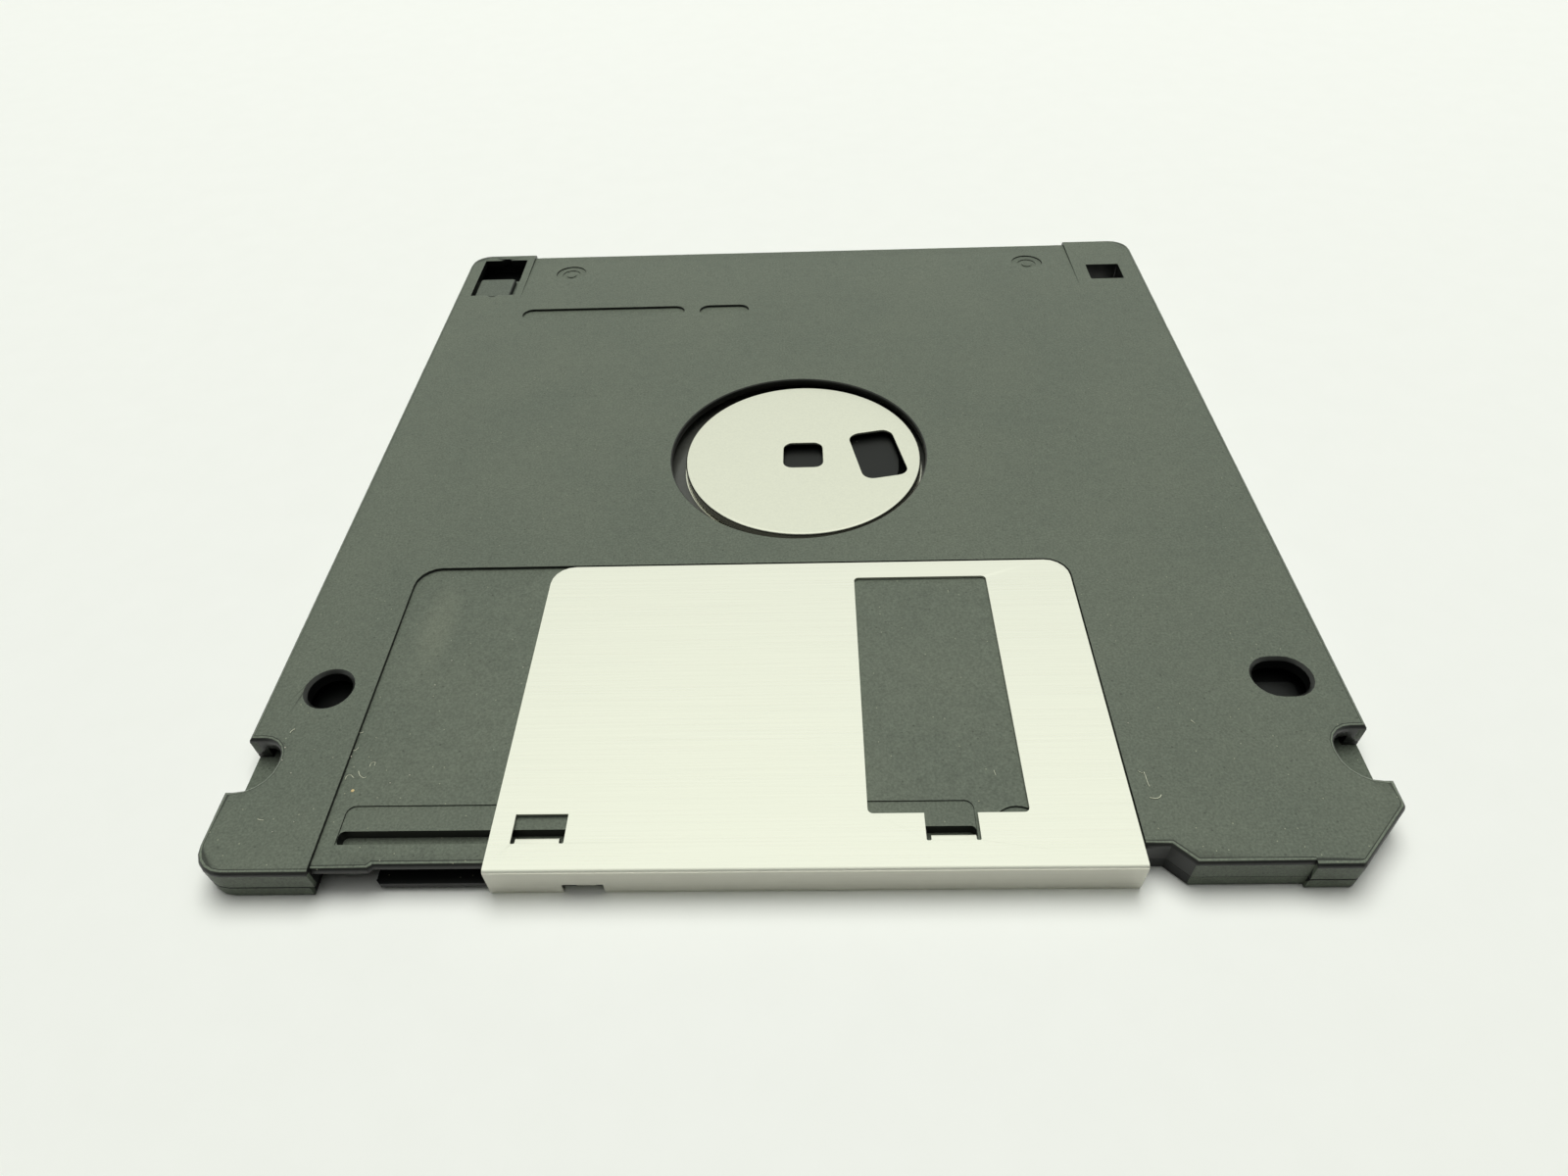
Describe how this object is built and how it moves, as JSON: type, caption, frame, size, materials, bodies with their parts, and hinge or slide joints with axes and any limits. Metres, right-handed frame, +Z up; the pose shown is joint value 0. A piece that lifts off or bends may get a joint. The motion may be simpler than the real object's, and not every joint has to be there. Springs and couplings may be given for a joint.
{
  "type": "floppy disk cartridge",
  "caption": "Flat square magnetic disk cartridge lying hub side up, with a sprung metal shutter on its front edge, a turning hub and disk, and a write-protect slide.",
  "frame": {"origin": "under the middle of the case, on the surface it lies on", "axes": "+Z up through the hub side, -Y towards the shutter edge, +X to the right when the shutter edge faces the viewer"},
  "size_m": [0.09, 0.094, 0.0033],
  "materials": {
    "black_abs": "fine matte texture",
    "liner_fabric": "unwoven",
    "lifter_film": "clear film",
    "coated_film": "polished magnetic coating",
    "adhesive_ring": "double-sided adhesive film",
    "satin_hub": "satin stainless steel",
    "brushed_shutter": "brushed stainless steel",
    "spring_wire": "drawn wire",
    "black_slide": "smooth matte"
  },
  "bodies": {
    "housing": {"hub_side_shell": "black_abs", "label_side_shell": "black_abs", "hub_side_liner": "liner_fabric", "label_side_liner": "liner_fabric", "liner_lifter": "lifter_film", "shutter_spring": "spring_wire"},
    "disk": {"hub": "satin_hub", "hub_adhesive_ring": "adhesive_ring", "magnetic_disk": "coated_film"},
    "shutter": {"shutter": "brushed_shutter"},
    "write_protect": {"write_protect_slide": "black_slide"}
  },
  "joints": [
    {"name": "shutter_slide", "type": "slide", "parent": "housing", "child": "shutter", "axis": [-1, 0, 0], "range_m": [0, 0.0124], "stiffness_N_per_m": 40, "springref_m": -0.012, "deforming": ["shutter_spring"]},
    {"name": "disk_spin", "type": "hinge", "parent": "housing", "child": "disk", "pos_m": [0.0005, 0.0016, 0.002], "axis": [0, 0, 1], "continuous": true},
    {"name": "write_protect_shift", "type": "slide", "parent": "housing", "child": "write_protect", "axis": [0, 1, 0], "range_m": [0, 0.0044]}
  ]
}
